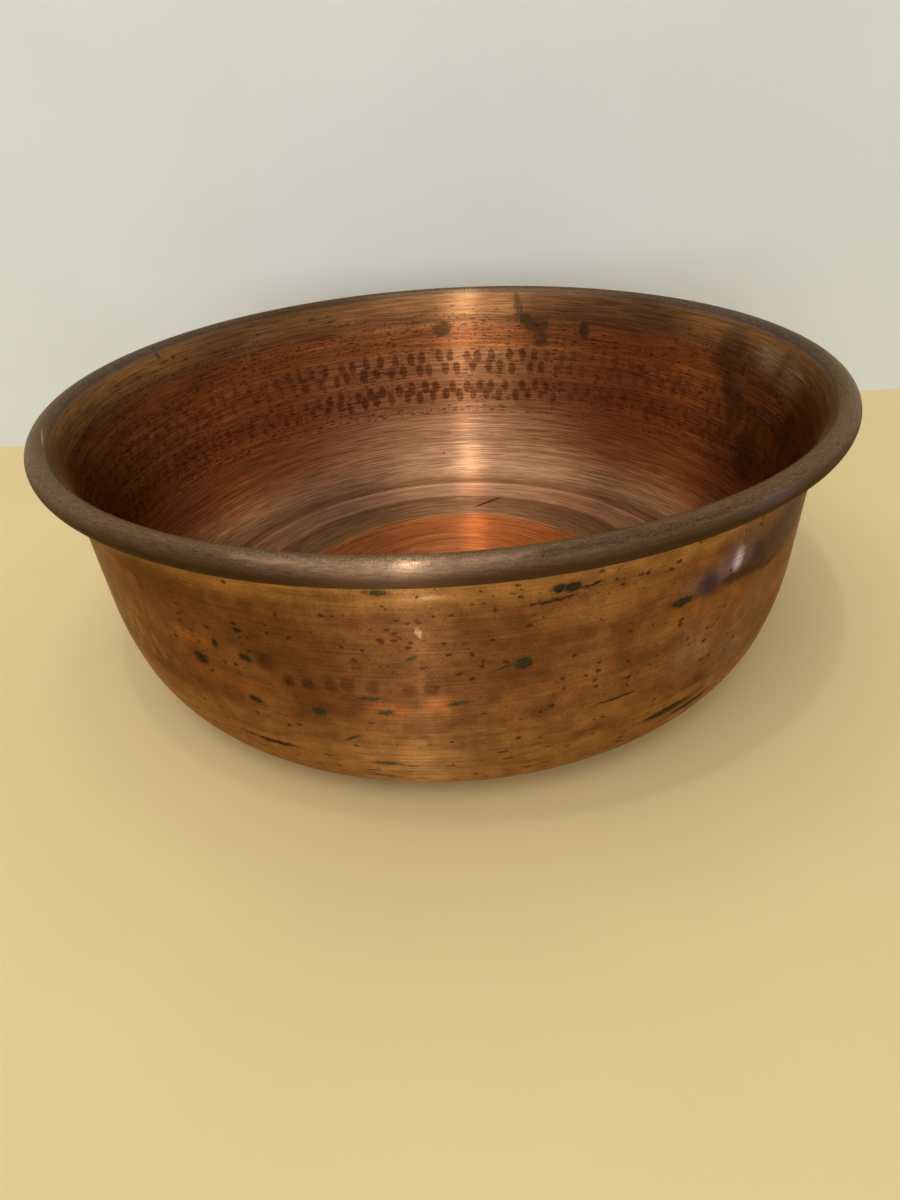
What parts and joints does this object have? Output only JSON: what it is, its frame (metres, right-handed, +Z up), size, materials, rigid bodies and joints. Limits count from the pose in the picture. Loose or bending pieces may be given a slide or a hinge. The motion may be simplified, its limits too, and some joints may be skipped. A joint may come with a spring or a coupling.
{
  "type": "copper bowl",
  "caption": "Round spun copper bowl with a flat floor, a low ledge round it, a nearly upright wall, a flared neck and a thick rim rolled round a steel wire.",
  "frame": {"origin": "middle of the underside of the floor, on the surface that the bowl stands on", "axes": "+Z up along the axis that the bowl was spun about, +Y away from the viewer of the picture, +X to the viewer's right"},
  "size_m": [0.3499, 0.35, 0.1185],
  "materials": {
    "copper": "spun copper, brown with age",
    "steel_wire": "drawn wire"
  },
  "bodies": {
    "root": {"bowl_shell": "copper", "rim_wire": "steel_wire"}
  },
  "joints": []
}
